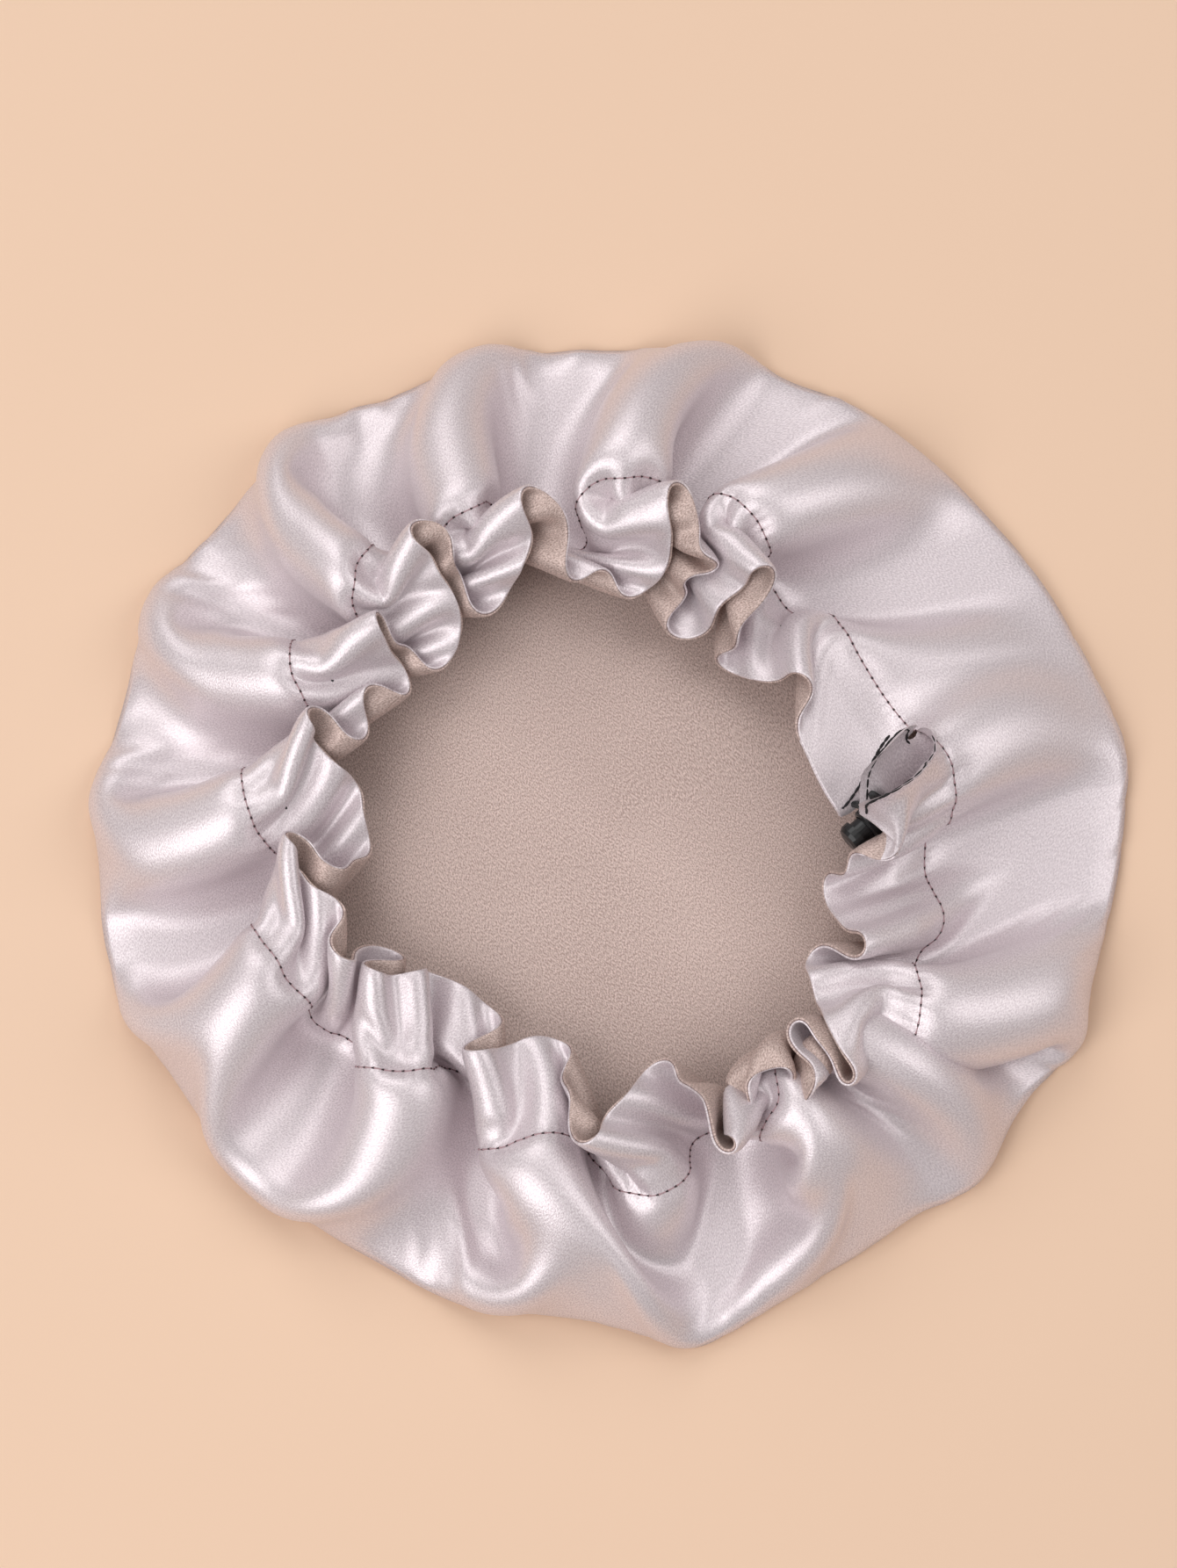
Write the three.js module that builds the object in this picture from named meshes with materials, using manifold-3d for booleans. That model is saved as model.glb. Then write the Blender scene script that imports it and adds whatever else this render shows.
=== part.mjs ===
// Satin hair bonnet: a round satin shell and its lining, gathered along a casing by an
// elastic drawcord that leaves the casing through two hemmed mouths and a spring cord lock.
// It lies crown down on a table with its opening up.
// Millimetres, +Z up. The origin is the middle of the crown, on the table.
import * as THREE from 'three';
import { mergeVertices } from 'three/addons/utils/BufferGeometryUtils.js';
import Module from 'manifold-3d';

const wasm = await Module();
wasm.setup();

// Cap as it lies
const CAP_RADIUS = 150; // widest plan radius, at the outer fold
const CROWN_RADIUS = 136; // flat crown on the table
const FOLD_LOW = 4; // heights of the outer fold's roll
const FOLD_HIGH = 12;
const SHOULDER_RADIUS = 127; // upper cloth between the fold and the stitch row
const SHOULDER_HEIGHT = 28;
const BODY_FOLDS = [10, 50, 78, 106, 130, 154, 174, 202, 230, 266, 298, 332]; // backs of the folds, degrees
const BODY_WAVE = 7; // how far they stand above the shoulder, and the valleys sink below it
const CORNER_ANGLES = [2, 64, 149, 192, 249, 282, 317]; // soft corners of the outline, degrees
const CORNER_REACH = 5; // how far a corner stands out
const CORNER_SPREAD = 9; // half width of a corner, degrees

// Cloth and thread
const CLOTH = 0.4; // one layer of satin
const PLY_GAP = 0.5; // between the two layers where they lie together
const THREAD = 0.5; // sewing thread
const CLEARANCE = 0.3; // between pieces that touch

// Gathers: the angle of each ridge round the opening, degrees
const RIDGE_ANGLES = [
  -8.6, 16, 31, 47, 60, 72, 99, 118, 136, 155, 172, 206, 227, 248, 265, 292, 306, 326, 340,
];
const MOUTH_GATHER = 0; // the gather whose casing is open, counted in the list above
const DEEP_GATHER = 20; // a gather at least this wide, in degrees, folds down fully
const STITCH_RIDGE = 95; // radius of the stitch row below the casing, at a ridge
const STITCH_NOSE = 106; // and between the ridges
const STITCH_LOW = 20; // its height at a ridge
const STITCH_HIGH = 22;
const CASING_WIDTH = 30; // stitch row to free edge
const RIDGE_RISE = 102; // how the casing leans: over 90 it falls outwards
const RIDGE_SPREAD = 8; // degrees by which the ridges differ
const NOSE_RISE = 16; // between the ridges it lies nearly flat, towards the middle
const NOSE_SPREAD = 6;
const MOUTH_RISE = 78; // beside the open mouths it stands up
const NECK = 0.08; // shares of a gather by which its folds swell and pinch
const PINCH = 0.05;
const CORD_LINE = 0.36; // where things lie across the casing, as shares of its width
const SEAM_LINE = 0.95;
const HEM_INSET = 0.2; // of a column, from a mouth to its hem stitch
const MOUTH_OPEN = 2; // how much further the layers part at the casing's mouths

// Drawcord and knot
const CORD = 2.4;
const CORD_RISE = 9; // the strands go up out of the lock
const CORD_LEAD = 5; // and lean into the mouths
const CORD_LEAN = 2.5; // more along the casing than inwards
const KNOT_TURN = 1.42; // mean radius of the knot, in cord diameters

// Cord lock, along its own axis from the cords: plunger head one way, closed end the other
const LOCK_INSET = 22; // from the stitch row to the cords in the lock
const LOCK_TURN = 222; // direction of the plunger head, degrees
const BARREL_WALL = 1.2;
const BARREL_FLOOR = 1.6;
const BARREL_COLLAR = 4; // from the cord hole to the open end
const PLUNGER_WALL = 1; // beside the cord hole
const PLUNGER_TOE = 2; // solid end of the plunger behind the cords
const PRESS = 3; // travel of the plunger
const HEAD_LIP = 1; // the head is wider than the plunger
const HEAD_LENGTH = 3.8;
const SPRING_WIRE = 0.5;
const SPRING_CURLS = 4;

const SATIN = { color: 0xd3c9ce, roughness: 0.28, metalness: 0.0 };
const CHAMPAGNE = { color: 0xc8ab9c, roughness: 0.36, metalness: 0.0 };
const SEWING_THREAD = { color: 0x5b2b33, roughness: 0.7, metalness: 0.0 };
const BLACK_THREAD = { color: 0x141214, roughness: 0.7, metalness: 0.0 };
const BLACK_ELASTIC = { color: 0x1b1a1c, roughness: 0.8, metalness: 0.0 };
const BLACK_PLASTIC = { color: 0x101113, roughness: 0.3, metalness: 0.0 };
const STEEL = { color: 0xb9bcc0, roughness: 0.3, metalness: 1.0 };

const RAD = Math.PI / 180;
const GATHERS = RIDGE_ANGLES.length;
const COLUMNS = 6; // facet columns in each gather of the casing
const STEP = 1 / COLUMNS;
const MOUTH_COLUMNS = 2; // columns left out between the casing's mouths
const MOUTH_START = MOUTH_GATHER + 3 * STEP;
const MOUTH_END = MOUTH_START + MOUTH_COLUMNS * STEP;

function piece(name, geometry, finish) {
  const mesh = new THREE.Mesh(geometry, new THREE.MeshStandardMaterial(finish));
  mesh.name = name;
  return mesh;
}

function polar(radius, degrees, height) {
  return new THREE.Vector3(radius * Math.cos(degrees * RAD), radius * Math.sin(degrees * RAD), height);
}

// The middle surface between the two layers. A place round the cap is counted in gathers:
// whole numbers are ridges, halves are the noses between them.
function ridgeAngle(ridge) {
  const turns = Math.floor(ridge / GATHERS);
  return RIDGE_ANGLES[ridge - turns * GATHERS] + 360 * turns;
}

function angleAt(place) {
  const ridge = Math.floor(place);
  return THREE.MathUtils.lerp(ridgeAngle(ridge), ridgeAngle(ridge + 1), place - ridge);
}

function waveAt(place) {
  return Math.cos(2 * Math.PI * place);
}

function cornerAt(degrees) {
  const bumps = CORNER_ANGLES.map((corner) => {
    const away = THREE.MathUtils.euclideanModulo(degrees - corner + 180, 360) - 180;
    return Math.exp(-((away / CORNER_SPREAD) ** 2));
  });
  return CORNER_REACH * Math.max(...bumps);
}

// The body's broad folds: 1 on the back of a fold, -1 in the valley between two.
function foldAt(degrees) {
  const first = BODY_FOLDS[0];
  const backs = [...BODY_FOLDS, first + 360];
  const turn = first + THREE.MathUtils.euclideanModulo(degrees - first, 360);
  const next = backs.findIndex((back) => back > turn);
  const share = (turn - backs[next - 1]) / (backs[next] - backs[next - 1]);
  return Math.cos(2 * Math.PI * share);
}

function bodyPoint(place, radius, height, wave, corner) {
  const degrees = angleAt(place);
  return polar(radius + corner * cornerAt(degrees), degrees, height + wave * foldAt(degrees));
}

function ridgeRise(ridge) {
  return RIDGE_RISE + RIDGE_SPREAD * Math.sin(1.7 * (ridge % GATHERS));
}

// How far the casing has come down from a ridge towards its nose: narrow gathers stay up.
function fallAt(place) {
  const ridge = Math.floor(place);
  const depth = Math.min(1, (ridgeAngle(ridge + 1) - ridgeAngle(ridge)) / DEEP_GATHER);
  return depth * (0.5 - 0.5 * waveAt(place));
}

function riseAt(place) {
  const ridge = Math.floor(place);
  const gather = ridge % GATHERS;
  const nose = gather === MOUTH_GATHER ? MOUTH_RISE : NOSE_RISE + NOSE_SPREAD * Math.sin(2.4 * gather);
  const crest = ridgeRise(place - ridge < 0.5 ? ridge : ridge + 1);
  return THREE.MathUtils.lerp(crest, nose, fallAt(place));
}

function casingPoint(place, across) {
  const ridge = Math.floor(place);
  const fall = fallAt(place);
  const reach = across * CASING_WIDTH;
  const rise = riseAt(place) * RAD;
  const radius = THREE.MathUtils.lerp(STITCH_RIDGE, STITCH_NOSE, fall) - reach * Math.cos(rise);
  const height = THREE.MathUtils.lerp(STITCH_LOW, STITCH_HIGH, fall) + reach * Math.sin(rise);
  const swell = NECK * Math.sin(4 * Math.PI * place) - PINCH * Math.sin(2 * Math.PI * place);
  const width = ridgeAngle(ridge + 1) - ridgeAngle(ridge);
  return polar(radius, angleAt(place) + across * swell * width, height);
}

// The rings that carry the cloth, from the crown's middle to the free edge. gap is half the
// space between the layers, and perGather is the number of columns in each gather.
const lieTogether = PLY_GAP / 2;
const onTable = lieTogether + CLOTH;
const roundCord = CORD / 2 + 1.5 * CLEARANCE;
const roundSeam = THREAD / 2 + 1.4 * CLEARANCE;

function bodyRing(perGather, radius, height, wave = 0, corner = 0, flat = false) {
  const at = (place) => bodyPoint(place, radius, height, wave, corner);
  return { perGather, flat, at, gapAt: () => lieTogether };
}

// The layers part towards the mouths, over the last two columns before each.
function mouthShare(place) {
  const away = Math.min(Math.abs(place - MOUTH_START), Math.abs(place - MOUTH_END));
  return Math.max(0, 1 - away / (2 * STEP));
}

function casingRing(across, gap, mouthGap) {
  return {
    perGather: COLUMNS,
    casing: across > 0,
    gapAt: (place) => gap + mouthGap * mouthShare(place),
    at: (place) => casingPoint(place, across),
  };
}

const rings = [
  bodyRing(1, CROWN_RADIUS / 2, onTable, 0, 0, true),
  bodyRing(2, CROWN_RADIUS, onTable, 0, 0, true),
  bodyRing(3, CAP_RADIUS - 1, FOLD_LOW, 0, 1),
  bodyRing(3, CAP_RADIUS, FOLD_HIGH, BODY_WAVE / 6, 1),
  bodyRing(3, SHOULDER_RADIUS, SHOULDER_HEIGHT, BODY_WAVE, 0.5),
  casingRing(0, lieTogether, 0),
  casingRing(CORD_LINE, roundCord, MOUTH_OPEN),
  casingRing(1, roundSeam, MOUTH_OPEN / 2),
];

// One net of triangles over the rings serves both layers.
const net = { points: [], gaps: [], flat: [], faces: [] };

function addPoint(point, gap, flat) {
  net.points.push(point);
  net.gaps.push(gap);
  net.flat.push(flat);
  return net.points.length - 1;
}

function addRing(ring) {
  const count = GATHERS * ring.perGather;
  return Array.from({ length: count }, (_, column) => {
    const place = column / ring.perGather;
    return addPoint(ring.at(place), ring.gapAt(place), ring.flat);
  });
}

function joinRings(inner, outer, inRing, outRing) {
  let i = 0;
  let j = 0;
  while (i < inner.length || j < outer.length) {
    const a = inner[i % inner.length];
    const b = outer[j % outer.length];
    const nextInner = (i + 1) / inRing.perGather;
    const nextOuter = (j + 1) / outRing.perGather;
    const place = Math.max(i / inRing.perGather, j / outRing.perGather);
    const next = Math.min(nextInner, nextOuter);
    const open = outRing.casing && place > MOUTH_START - 1e-6 && next < MOUTH_END + 1e-6;
    if (nextOuter <= nextInner && j < outer.length) {
      if (!open) net.faces.push([a, outer[(j + 1) % outer.length], b]);
      j += 1;
    } else {
      if (!open) net.faces.push([a, inner[(i + 1) % inner.length], b]);
      i += 1;
    }
  }
}

const pole = addPoint(new THREE.Vector3(0, 0, onTable), lieTogether, true);
const ringIndices = rings.map(addRing);
ringIndices[0].forEach((index, column, ring) => {
  net.faces.push([pole, ring[(column + 1) % ring.length], index]);
});
for (let k = 1; k < rings.length; k += 1) {
  joinRings(ringIndices[k - 1], ringIndices[k], rings[k - 1], rings[k]);
}

// Offsets follow the mean of the faces round a point, longer where they meet in a corner, so
// that the layers keep their distance from every face.
const LONGEST_OFFSET = 2.4;
const faceNormals = net.faces.map((face) => {
  const [a, b, c] = face.map((index) => net.points[index]);
  return b.clone().sub(a).cross(c.clone().sub(a)).normalize();
});
const netNormals = net.points.map(() => new THREE.Vector3());
net.faces.forEach((face, k) => face.forEach((index) => netNormals[index].add(faceNormals[k])));
netNormals.forEach((normal, index) => {
  if (net.flat[index]) normal.set(0, 0, -1);
  else normal.normalize();
});
const tightest = net.points.map(() => 1);
net.faces.forEach((face, k) => {
  face.forEach((index) => {
    tightest[index] = Math.min(tightest[index], netNormals[index].dot(faceNormals[k]));
  });
});
netNormals.forEach((normal, index) => {
  if (!net.flat[index]) normal.divideScalar(Math.max(tightest[index], 1 / LONGEST_OFFSET));
});

function offsetPoint(index, distance) {
  return net.points[index].clone().addScaledVector(netNormals[index], distance);
}

// A layer of cloth: the net moved out to two distances, with a wall along every open edge.
function clothLayer(lowAt, highAt) {
  const count = net.points.length;
  const places = [
    ...net.points.map((_, index) => offsetPoint(index, highAt(index))),
    ...net.points.map((_, index) => offsetPoint(index, lowAt(index))),
  ];
  const edges = new Set(net.faces.flatMap(([a, b, c]) => [`${a} ${b}`, `${b} ${c}`, `${c} ${a}`]));
  const triangles = [];
  for (const [a, b, c] of net.faces) {
    triangles.push(a, b, c, count + a, count + c, count + b);
    for (const [from, to] of [[a, b], [b, c], [c, a]]) {
      if (edges.has(`${to} ${from}`)) continue;
      triangles.push(to, from, count + from, to, count + from, count + to);
    }
  }
  const geometry = new THREE.BufferGeometry().setFromPoints(places);
  geometry.setIndex(triangles);
  geometry.computeVertexNormals();
  return geometry;
}

// A path through given points, stepped at those points, for sweeping a round section.
class PointPath extends THREE.Curve {
  constructor(points) {
    super();
    this.points = points;
  }

  getPoint(share) {
    const reach = share * (this.points.length - 1);
    const index = Math.min(Math.floor(reach), this.points.length - 2);
    return this.points[index].clone().lerp(this.points[index + 1], reach - index);
  }

  getPointAt(share) {
    return this.getPoint(share);
  }

  getTangentAt(share) {
    const half = 0.5 / (this.points.length - 1);
    const before = this.getPoint(Math.max(share - half, 0));
    return this.getPoint(Math.min(share + half, 1)).sub(before).normalize();
  }
}

function roundSection(diameter, sides) {
  const corners = Array.from({ length: sides }, (_, side) => {
    const turn = (2 * Math.PI * side) / sides;
    return new THREE.Vector2(Math.cos(turn), Math.sin(turn)).multiplyScalar(diameter / 2);
  });
  return new THREE.Shape(corners);
}

function sweep(points, diameter, sides) {
  const settings = { extrudePath: new PointPath(points), steps: points.length - 1 };
  return new THREE.ExtrudeGeometry(roundSection(diameter, sides), settings);
}

// Places on the casing as the facets have them, at a distance outside the middle surface.
const stitchRing = ringIndices[5];
const cordRing = ringIndices[6];
const edgeRing = ringIndices[7];

function onCasing(place, across, above) {
  const columns = GATHERS * COLUMNS;
  const left = Math.floor(place * COLUMNS + 1e-6);
  const aside = Math.max(place * COLUMNS - left, 0);
  const [low, high, up] =
    across < CORD_LINE
      ? [stitchRing, cordRing, across / CORD_LINE]
      : [cordRing, edgeRing, (across - CORD_LINE) / (1 - CORD_LINE)];
  const corner = (ring, column) => {
    const index = ring[column % columns];
    return offsetPoint(index, above === undefined ? 0 : net.gaps[index] + CLOTH + above);
  };
  const lowLeft = corner(low, left);
  const highRight = corner(high, left + 1);
  const spot = new THREE.Vector3().addScaledVector(lowLeft, 1 - Math.max(aside, up));
  spot.addScaledVector(highRight, Math.min(aside, up));
  if (up > aside) return spot.addScaledVector(corner(high, left), up - aside);
  return spot.addScaledVector(corner(low, left + 1), aside - up);
}

const aboveCloth = THREAD / 2 + 2 * CLEARANCE;
const casingColumns = GATHERS * COLUMNS - MOUTH_COLUMNS;
const roundTheCasing = Array.from({ length: casingColumns + 1 }, (_, step) => MOUTH_END + step * STEP);

function stitchRow() {
  const places = roundTheCasing.slice(2, -1);
  return sweep(places.map((place) => onCasing(place, 0, aboveCloth)), THREAD, 5);
}

function rimSeam() {
  return sweep(roundTheCasing.map((place) => onCasing(place, SEAM_LINE)), THREAD, 5);
}

// A hem stitch runs across the casing, a little way in from the mouth that it hems.
function mouthHem(place) {
  const places = [0.12, 0.24, CORD_LINE, 0.5, 0.65, 0.8, 0.92];
  return sweep(places.map((across) => onCasing(place, across, aboveCloth)), THREAD, 5);
}

// Cord lock
const lockReach = STITCH_NOSE - LOCK_INSET;
const lockPlace = polar(lockReach, angleAt(MOUTH_START), STITCH_HIGH);
const lock = new THREE.Group();
lock.position.copy(lockPlace);
lock.rotation.z = LOCK_TURN * RAD;

const cordHole = CORD + 2 * CLEARANCE; // along the lock
const strandOffset = (CORD + CLEARANCE) / 2; // each strand from the lock's axis
const cordSlot = 2 * strandOffset + cordHole; // across the lock
const plungerRadius = cordSlot / 2 + PLUNGER_WALL;
const headRadius = plungerRadius + HEAD_LIP;
const boreRadius = plungerRadius + CLEARANCE;
const barrelRadius = boreRadius + BARREL_WALL;
const barrelEnd = cordHole / 2 + BARREL_COLLAR;
const toe = -cordHole / 2 - PLUNGER_TOE; // inner end of the plunger
const springSolid = 1.05 * (SPRING_CURLS + 1) * SPRING_WIRE + 2 * CLEARANCE; // room for it pressed flat
const boreEnd = toe - PRESS - springSolid;
const headStart = barrelEnd + PRESS + CLEARANCE;

function turned(profile, segments) {
  const geometry = new THREE.LatheGeometry(profile.map(([r, x]) => new THREE.Vector2(r, x)), segments);
  return geometry.rotateZ(-Math.PI / 2);
}

// A round-cornered slot across the lock, for both strands.
function slotThrough(length, shift) {
  const corner = cordHole / 2;
  const reach = length / 2 - corner;
  const side = cordSlot / 2 - corner;
  const quarter = Math.PI / 2;
  const outline = new THREE.Shape();
  outline.absarc(shift + reach, side, corner, 0, quarter);
  outline.absarc(shift - reach, side, corner, quarter, 2 * quarter);
  outline.absarc(shift - reach, -side, corner, 2 * quarter, 3 * quarter);
  outline.absarc(shift + reach, -side, corner, 3 * quarter, 4 * quarter);
  const depth = 3 * barrelRadius;
  const settings = { depth, bevelEnabled: false, curveSegments: 5 };
  return new THREE.ExtrudeGeometry(outline, settings).translate(0, 0, -depth / 2);
}

function solidOf(geometry) {
  const bare = geometry.clone();
  bare.deleteAttribute('normal');
  bare.deleteAttribute('uv');
  const merged = mergeVertices(bare, 1e-4);
  const mesh = new wasm.Mesh({
    numProp: 3,
    vertProperties: merged.getAttribute('position').array,
    triVerts: new Uint32Array(merged.index.array),
  });
  return new wasm.Manifold(mesh);
}

function cutAway(geometry, cutter) {
  const mesh = solidOf(geometry).subtract(solidOf(cutter)).getMesh();
  const cut = new THREE.BufferGeometry();
  cut.setAttribute('position', new THREE.BufferAttribute(mesh.vertProperties, 3));
  cut.setIndex(new THREE.BufferAttribute(mesh.triVerts, 1));
  cut.computeVertexNormals();
  return cut;
}

function lockBarrel() {
  const end = boreEnd - BARREL_FLOOR;
  const round = 0.35 * barrelRadius;
  const profile = [
    [0, end],
    [barrelRadius - round, end],
    [barrelRadius - 0.3 * round, end + 0.3 * round],
    [barrelRadius, end + round],
    [barrelRadius, barrelEnd - BARREL_WALL / 2],
    [barrelRadius - BARREL_WALL / 2, barrelEnd],
    [boreRadius, barrelEnd],
    [boreRadius, boreEnd],
    [0, boreEnd],
  ];
  return cutAway(turned(profile, 24), slotThrough(cordHole, 0));
}

function lockPlunger() {
  const top = headStart + HEAD_LENGTH;
  const profile = [
    [0, toe],
    [plungerRadius, toe],
    [plungerRadius, headStart],
    [headRadius, headStart],
    [headRadius, top - 0.45 * HEAD_LENGTH],
    [0.86 * headRadius, top - 0.16 * HEAD_LENGTH],
    [0.55 * headRadius, top],
    [0, top],
  ];
  const slot = cordHole + PRESS;
  return cutAway(turned(profile, 24), slotThrough(slot, PRESS / 2));
}

function lockSpring() {
  const start = boreEnd + CLEARANCE + SPRING_WIRE / 2;
  const length = toe - boreEnd - 2 * CLEARANCE - SPRING_WIRE;
  const radius = plungerRadius - SPRING_WIRE;
  const steps = 8 * SPRING_CURLS;
  const points = Array.from({ length: steps + 1 }, (_, step) => {
    const turn = (2 * Math.PI * step) / 8;
    const along = start + (length * step) / steps;
    return new THREE.Vector3(along, radius * Math.cos(turn), radius * Math.sin(turn));
  });
  return sweep(points, SPRING_WIRE, 5);
}

// Drawcord: up through the lock, into one mouth, round the casing, out and down again
const knotSize = KNOT_TURN * CORD;
const knotHeight = PLY_GAP + 2 * CLOTH + CLEARANCE + knotSize / 2 + CORD / 2;
const tailEnd = knotHeight + knotSize / 2 + CORD / 2 + CLEARANCE;
const strandTop = lockPlace.z + barrelRadius + CLEARANCE;

function strand(side) {
  const turn = LOCK_TURN * RAD;
  const place = lockPlace.clone();
  place.x -= side * strandOffset * Math.sin(turn);
  place.y += side * strandOffset * Math.cos(turn);
  return (height) => place.clone().setZ(height);
}

function leadIn(strandAt, mouth, inside) {
  const start = strandAt(strandTop);
  const up = strandAt(strandTop + CORD_RISE);
  const end = onCasing(mouth, CORD_LINE);
  const along = end.clone().sub(onCasing(inside, CORD_LINE)).normalize();
  const inward = end.clone().setZ(0).normalize();
  const out = along.multiplyScalar(CORD_LEAN).sub(inward).setLength(CORD_LEAD).add(end);
  const curve = new THREE.CubicBezierCurve3(start, up, out, end).getPoints(9);
  return [strandAt(tailEnd), strandAt(lockPlace.z), ...curve.slice(0, -1)];
}

function drawcord() {
  const first = leadIn(strand(-1), MOUTH_END, MOUTH_END + STEP);
  const last = leadIn(strand(1), MOUTH_START, MOUTH_START - STEP + GATHERS).reverse();
  const held = roundTheCasing.map((place) => onCasing(place, CORD_LINE));
  return sweep([...first, ...held, ...last], CORD, 8);
}

function knot() {
  const geometry = new THREE.TorusKnotGeometry(knotSize, CORD / 2, 48, 6, 2, 3);
  return geometry.translate(lockPlace.x, lockPlace.y, knotHeight);
}

const bonnet = new THREE.Group();
bonnet.add(
  piece('outer_satin_shell', clothLayer((i) => net.gaps[i], (i) => net.gaps[i] + CLOTH), SATIN),
  piece('satin_lining', clothLayer((i) => -net.gaps[i] - CLOTH, (i) => -net.gaps[i]), CHAMPAGNE),
  piece('casing_stitch_row', stitchRow(), SEWING_THREAD),
  piece('rim_seam_thread', rimSeam(), SEWING_THREAD),
  piece('upper_mouth_hem_stitch', mouthHem(MOUTH_END + HEM_INSET * STEP), BLACK_THREAD),
  piece('lower_mouth_hem_stitch', mouthHem(MOUTH_START - HEM_INSET * STEP), BLACK_THREAD),
  piece('elastic_drawcord', drawcord(), BLACK_ELASTIC),
  piece('drawcord_knot', knot(), BLACK_ELASTIC),
);
lock.add(
  piece('cord_lock_barrel', lockBarrel(), BLACK_PLASTIC),
  piece('cord_lock_plunger', lockPlunger(), BLACK_PLASTIC),
  piece('cord_lock_spring', lockSpring(), STEEL),
);
bonnet.add(lock);

export default bonnet;
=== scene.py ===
import math

import bpy
import numpy as np
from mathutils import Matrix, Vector


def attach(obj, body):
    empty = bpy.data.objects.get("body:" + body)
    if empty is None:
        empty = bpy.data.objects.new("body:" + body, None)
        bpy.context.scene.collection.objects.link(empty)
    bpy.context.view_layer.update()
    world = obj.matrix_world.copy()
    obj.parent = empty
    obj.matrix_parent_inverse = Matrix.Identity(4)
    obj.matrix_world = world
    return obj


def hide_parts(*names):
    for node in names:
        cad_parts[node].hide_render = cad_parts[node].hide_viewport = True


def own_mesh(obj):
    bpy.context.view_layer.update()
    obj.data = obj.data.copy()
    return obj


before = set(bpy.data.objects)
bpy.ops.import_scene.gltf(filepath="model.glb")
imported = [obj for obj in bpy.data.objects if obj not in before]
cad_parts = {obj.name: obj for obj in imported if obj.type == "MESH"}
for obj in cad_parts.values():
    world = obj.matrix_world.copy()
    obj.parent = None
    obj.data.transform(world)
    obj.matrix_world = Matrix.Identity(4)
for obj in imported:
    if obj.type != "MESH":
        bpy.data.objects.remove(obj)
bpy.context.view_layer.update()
print("frame loaded")

# The bonnet is one flat round of two cloths. A point of it is known by its distance from the crown's centre,
# and by its turn. Lengths here are in millimetres, and toMetres brings them into the frame.
toMetres = 0.001

cloth = {
    "flatTo": 112.0,
    "stitch": 219.0,
    "rim": 249.0,
    "ease": 0.94,
    "cordLine": 0.36,
    "columns": 304,
    "bodyRows": 20,
    "casingRows": 6,
    "lift": 0.65,
    "foldLift": 4.5,
    "crownRise": 0.6,
    "heldRows": 2,
}

outline = {
    "middle": (4.0, 7.0),
    "radius": 150.5,
    "wide": 3.0,
    "crease": 1.5,
    "corners": [(6, 12), (66, 4), (152, 3), (190, 6), (248, 4), (282, 16), (317, 6)],
    "spread": 8.0,
    "foldTop": 3.0,
}

gathers = {
    "stitchRadius": 97.0,
    "stitchLow": 14.0,
    "stitchRise": 14.0,
    "rimLow": 23.0,
    "rimSlope": 0.58,
    "startTurn": 17.0,
    "endTurn": 376.0,
    "bodyTop": 10.0,
    "lobe": 7.0,
    "stitchBlur": 34.0,
    "edgeBlur": 130.0,
    "ridgeFrom": 66.0,
    "ridgeRun": 38.0,
    "lobeRun": 14.0,
    "foldedBack": 15,
    "foldedHeight": 36.0,
    "foldedStitch": 90.0,
    "foldedOver": (70.0, 42.0),
    "cordRadius": 90.0,
    "cordHeight": 24.0,
    "cordRoom": 10.0,
    "cordPull": 0.3,
    "cordFreeRun": 50.0,
}

# The lower mouth stands up over the lock: heights of its stitched corner, its middle and its rim corner.
mouth = {
    "run": 16.0,
    "stitchHeight": 30.0,
    "middleRise": 24.0,
    "rimHeight": 32.0,
    "upperRimHeight": 21.0,
    "middleShift": (-2.0, 9.0),
    "slide": (-7.0, 4.0, 5.5),
    "slideRun": 44.0,
    "curl": 15.0,
    "curlTurn": 80.0,
    "bulge": 10.0,
    "bulgeAt": 12.0,
    "bulgeRun": 15.0,
    "spreadRun": 45.0,
    "lowerFirm": (7.0, 34.0),
    "upperFirm": (8.0, 26.0),
}

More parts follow.
